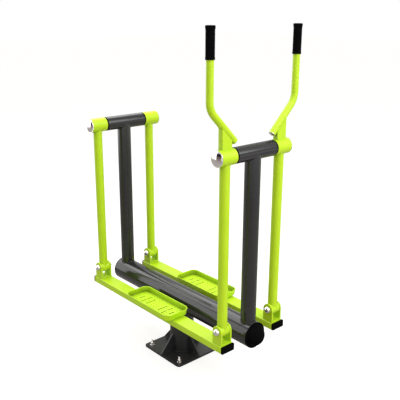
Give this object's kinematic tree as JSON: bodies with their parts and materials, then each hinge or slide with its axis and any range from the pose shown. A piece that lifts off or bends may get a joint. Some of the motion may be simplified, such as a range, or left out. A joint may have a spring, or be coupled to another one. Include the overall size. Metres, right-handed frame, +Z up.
{
  "type": "outdoor air walker",
  "caption": "Air walker for parks: two level foot bars with pedal trays hang from swinging arms on a steel stand, and the front arms carry the handlebars.",
  "frame": {"origin": "on the ground, under the middle of the column and of the base plate's underside", "axes": "+X to the user's left, +Y to the rear and away from the handlebars, +Z up; the user stands in the trays and faces -Y, so left_ names are at +X and right_ names at -X"},
  "size_m": [0.586, 1.207, 1.7865],
  "materials": {
    "green_paint": "satin powder coat",
    "graphite_paint": "satin powder coat",
    "black_plastic": "fine moulded grain",
    "grip_rubber": "matt",
    "polished_steel": "polished",
    "machined_steel": "turned",
    "bush_plastic": "smooth"
  },
  "bodies": {
    "stand": {"base_plate": "graphite_paint", "column": "graphite_paint", "base_gussets": "graphite_paint", "main_tube": "graphite_paint", "main_tube_caps": "black_plastic", "axle_carriers": "machined_steel", "bearing_sleeves": "machined_steel", "dust_rings": "black_plastic", "axle_end_discs": "machined_steel", "front_post": "graphite_paint", "front_crossbar": "graphite_paint", "front_axle": "machined_steel", "rear_post": "graphite_paint", "rear_crossbar": "graphite_paint", "rear_axle": "machined_steel"},
    "left_handle_arm": {"left_front_hub": "green_paint", "left_front_hub_bearings": "machined_steel", "left_front_hub_cap": "polished_steel", "left_front_arm": "green_paint", "left_front_lower_barrel": "green_paint", "left_front_bush": "bush_plastic", "left_handle_stub": "green_paint", "left_handlebar": "green_paint", "left_handle_plug": "polished_steel", "left_grip": "grip_rubber"},
    "left_rear_swing_arm": {"left_rear_hub": "green_paint", "left_rear_hub_bearings": "machined_steel", "left_rear_hub_cap": "polished_steel", "left_rear_arm": "green_paint", "left_rear_lower_barrel": "green_paint", "left_rear_bush": "bush_plastic"},
    "left_step": {"left_foot_bar": "green_paint", "left_bar_plugs": "black_plastic", "left_clevises": "green_paint", "left_pivot_pins": "machined_steel", "left_pin_caps": "polished_steel", "left_tray": "green_paint"},
    "right_handle_arm": {"right_front_hub": "green_paint", "right_front_hub_bearings": "machined_steel", "right_front_hub_cap": "polished_steel", "right_front_arm": "green_paint", "right_front_lower_barrel": "green_paint", "right_front_bush": "bush_plastic", "right_handle_stub": "green_paint", "right_handlebar": "green_paint", "right_handle_plug": "polished_steel", "right_grip": "grip_rubber"},
    "right_rear_swing_arm": {"right_rear_hub": "green_paint", "right_rear_hub_bearings": "machined_steel", "right_rear_hub_cap": "polished_steel", "right_rear_arm": "green_paint", "right_rear_lower_barrel": "green_paint", "right_rear_bush": "bush_plastic"},
    "right_step": {"right_foot_bar": "green_paint", "right_bar_plugs": "black_plastic", "right_clevises": "green_paint", "right_pivot_pins": "machined_steel", "right_pin_caps": "polished_steel", "right_tray": "green_paint"}
  },
  "joints": [
    {"name": "left_handle_swing", "type": "hinge", "parent": "stand", "child": "left_handle_arm", "pos_m": [0.177, -0.509, 1.2275], "axis": [1, 0, 0], "range_deg": [-35, 35]},
    {"name": "left_rear_swing", "type": "hinge", "parent": "stand", "child": "left_rear_swing_arm", "pos_m": [0.177, 0.509, 1.2275], "axis": [1, 0, 0], "range_deg": [-35, 35]},
    {"name": "left_step_level", "type": "hinge", "parent": "left_handle_arm", "child": "left_step", "pos_m": [0.177, -0.509, 0.384], "axis": [1, 0, 0], "range_deg": [-35, 35]},
    {"name": "right_handle_swing", "type": "hinge", "parent": "stand", "child": "right_handle_arm", "pos_m": [-0.177, -0.509, 1.2275], "axis": [1, 0, 0], "range_deg": [-35, 35]},
    {"name": "right_rear_swing", "type": "hinge", "parent": "stand", "child": "right_rear_swing_arm", "pos_m": [-0.177, 0.509, 1.2275], "axis": [1, 0, 0], "range_deg": [-35, 35]},
    {"name": "right_step_level", "type": "hinge", "parent": "right_handle_arm", "child": "right_step", "pos_m": [-0.177, -0.509, 0.384], "axis": [1, 0, 0], "range_deg": [-35, 35]}
  ],
  "couplings": [
    {"joint": "left_rear_swing", "follows": "left_handle_swing", "ratio": 1},
    {"joint": "left_step_level", "follows": "left_handle_swing", "ratio": -1},
    {"joint": "right_rear_swing", "follows": "right_handle_swing", "ratio": 1},
    {"joint": "right_step_level", "follows": "right_handle_swing", "ratio": -1}
  ]
}
